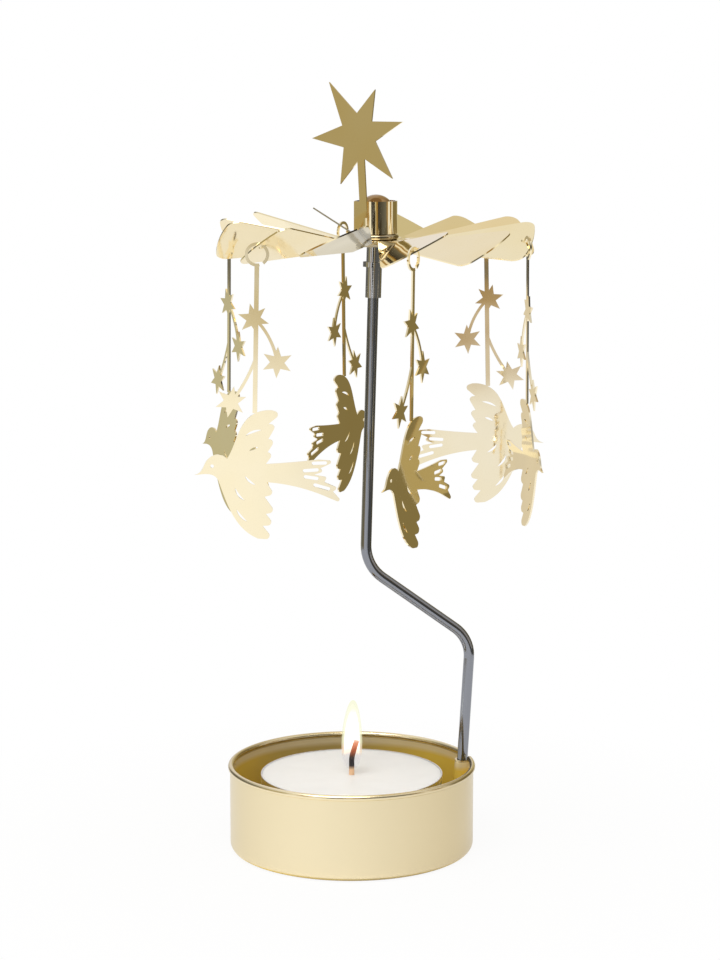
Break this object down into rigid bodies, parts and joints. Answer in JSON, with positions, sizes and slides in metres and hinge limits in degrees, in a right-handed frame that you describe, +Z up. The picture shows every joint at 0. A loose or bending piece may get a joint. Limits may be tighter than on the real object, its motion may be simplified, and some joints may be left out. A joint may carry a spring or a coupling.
{
  "type": "rotary tealight holder",
  "caption": "Rotary tealight holder: a round metal cup with a cranked rod, and a bladed wheel on a needle that carries hanging bird and star pendants round over the flame.",
  "frame": {"origin": "middle of the cup's underside, on the surface that it stands on", "axes": "+Z up along the cup's axis, +X from that axis towards the rod's foot"},
  "size_m": [0.0796, 0.0813, 0.1571],
  "materials": {
    "cup_gold": "bright gold, satin outside",
    "sheet_gold": "mirror-bright gold sheet",
    "pendant_gold": "mirror-bright gold sheet",
    "rod_steel": "drawn steel wire",
    "sleeve_steel": "bright turned steel",
    "tealight_aluminium": "thin drawn aluminium",
    "wax": "white wax",
    "wick": "charred cotton",
    "sustainer_steel": "tin plate"
  },
  "bodies": {
    "stand": {"holder_cup": "cup_gold", "support_rod": "rod_steel", "rod_sleeve": "sleeve_steel", "pivot_needle": "sleeve_steel"},
    "carousel": {"rotor_wheel": "sheet_gold", "hub_cap": "sheet_gold", "star_topper": "sheet_gold"},
    "tealight": {"tealight_cup": "tealight_aluminium", "tealight_wax": "wax", "tealight_wick": "wick", "wick_sustainer": "sustainer_steel"},
    "hanging_1": {"pendant_1": "pendant_gold"},
    "hanging_2": {"pendant_2": "pendant_gold"},
    "hanging_3": {"pendant_3": "pendant_gold"},
    "hanging_4": {"pendant_4": "pendant_gold"},
    "hanging_5": {"pendant_5": "pendant_gold"},
    "hanging_6": {"pendant_6": "pendant_gold"}
  },
  "joints": [
    {"name": "carousel_spin", "type": "hinge", "parent": "stand", "child": "carousel", "pos_m": [0.0051, 0, 0.1345], "axis": [0, 0, 1], "continuous": true},
    {"name": "tealight_lift", "type": "slide", "parent": "stand", "child": "tealight", "axis": [0, 0, 1], "range_m": [0, 0.02]},
    {"name": "pendant_swing_1", "type": "hinge", "parent": "carousel", "child": "hanging_1", "pos_m": [0.03275, 0.01509, 0.12447], "axis": [0.225, 0.9744, 0], "range_deg": [-15, 15]},
    {"name": "pendant_swing_2", "type": "hinge", "parent": "carousel", "child": "hanging_2", "pos_m": [0.00583, 0.03139, 0.12534], "axis": [-0.7314, 0.682, 0], "range_deg": [-15, 15]},
    {"name": "pendant_swing_3", "type": "hinge", "parent": "carousel", "child": "hanging_3", "pos_m": [-0.02176, 0.01632, 0.12454], "axis": [-0.9563, -0.2924, 0], "range_deg": [-15, 15]},
    {"name": "pendant_swing_4", "type": "hinge", "parent": "carousel", "child": "hanging_4", "pos_m": [-0.02247, -0.0151, 0.12444], "axis": [-0.225, -0.9744, 0], "range_deg": [-15, 15]},
    {"name": "pendant_swing_5", "type": "hinge", "parent": "carousel", "child": "hanging_5", "pos_m": [0.00436, -0.03148, 0.12427], "axis": [0.7314, -0.682, 0], "range_deg": [-15, 15]},
    {"name": "pendant_swing_6", "type": "hinge", "parent": "carousel", "child": "hanging_6", "pos_m": [0.03159, -0.01726, 0.12496], "axis": [0.9994, -0.0349, 0], "range_deg": [-15, 15]}
  ]
}
